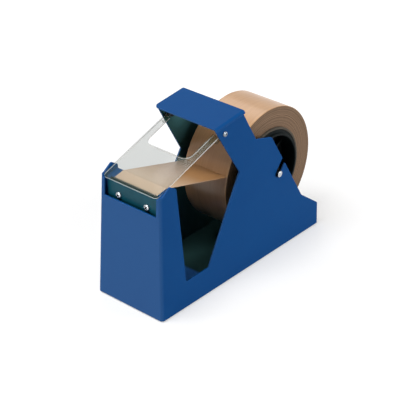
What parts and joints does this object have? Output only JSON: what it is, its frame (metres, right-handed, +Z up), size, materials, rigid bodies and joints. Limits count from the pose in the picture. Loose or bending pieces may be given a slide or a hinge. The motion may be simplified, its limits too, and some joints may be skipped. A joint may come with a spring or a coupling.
{
  "type": "tape dispenser",
  "caption": "Bench-top packing tape dispenser: folded steel stand with a raked hood, a serrated cutter under a hinged clear guard, and a lift-out reel with a roll of brown tape.",
  "frame": {"origin": "on the floor under the middle of the stand", "axes": "+Z up, -Y towards the cutter and the user, +X towards the side from which the hood is folded"},
  "size_m": [0.0754, 0.2164, 0.1559],
  "materials": {
    "blue_paint": "satin powder coat on steel sheet",
    "bright_steel": "bright zinc plate",
    "dark_paint": "dark satin paint",
    "black_plastic": "moulded satin",
    "clear_plastic": "clear polished sheet",
    "core_card": "wound card tube",
    "brown_tape": "satin adhesive film",
    "foot_rubber": "matte"
  },
  "bodies": {
    "frame": {"right_side_panel": "blue_paint", "left_side_panel": "blue_paint", "front_panel": "blue_paint", "hood": "blue_paint", "base_plate": "blue_paint", "rear_tie": "blue_paint", "rubber_feet": "foot_rubber", "tape_rest": "blue_paint", "cutter_blade": "bright_steel", "blade_clamp": "dark_paint", "blade_screws": "bright_steel", "blade_nuts": "bright_steel", "guard_pins": "bright_steel", "guard_washers": "black_plastic", "guard_nuts": "bright_steel", "tape_strip": "brown_tape"},
    "guard": {"clear_guard": "clear_plastic"},
    "axle": {"axle": "bright_steel", "axle_clips": "bright_steel"},
    "reel": {"right_hub": "black_plastic", "left_hub": "black_plastic", "paper_core": "core_card", "tape_roll": "brown_tape"}
  },
  "joints": [
    {"name": "guard_hinge", "type": "hinge", "parent": "frame", "child": "guard", "pos_m": [0, -0.0228, 0.1443], "axis": [-1, 0, 0], "range_deg": [0, 38]},
    {"name": "axle_lift", "type": "slide", "parent": "frame", "child": "axle", "axis": [0, 0.6428, 0.766], "range_m": [0, 0.1]},
    {"name": "reel_spin", "type": "hinge", "parent": "axle", "child": "reel", "pos_m": [0, 0.0488, 0.078], "axis": [1, 0, 0], "continuous": true}
  ]
}
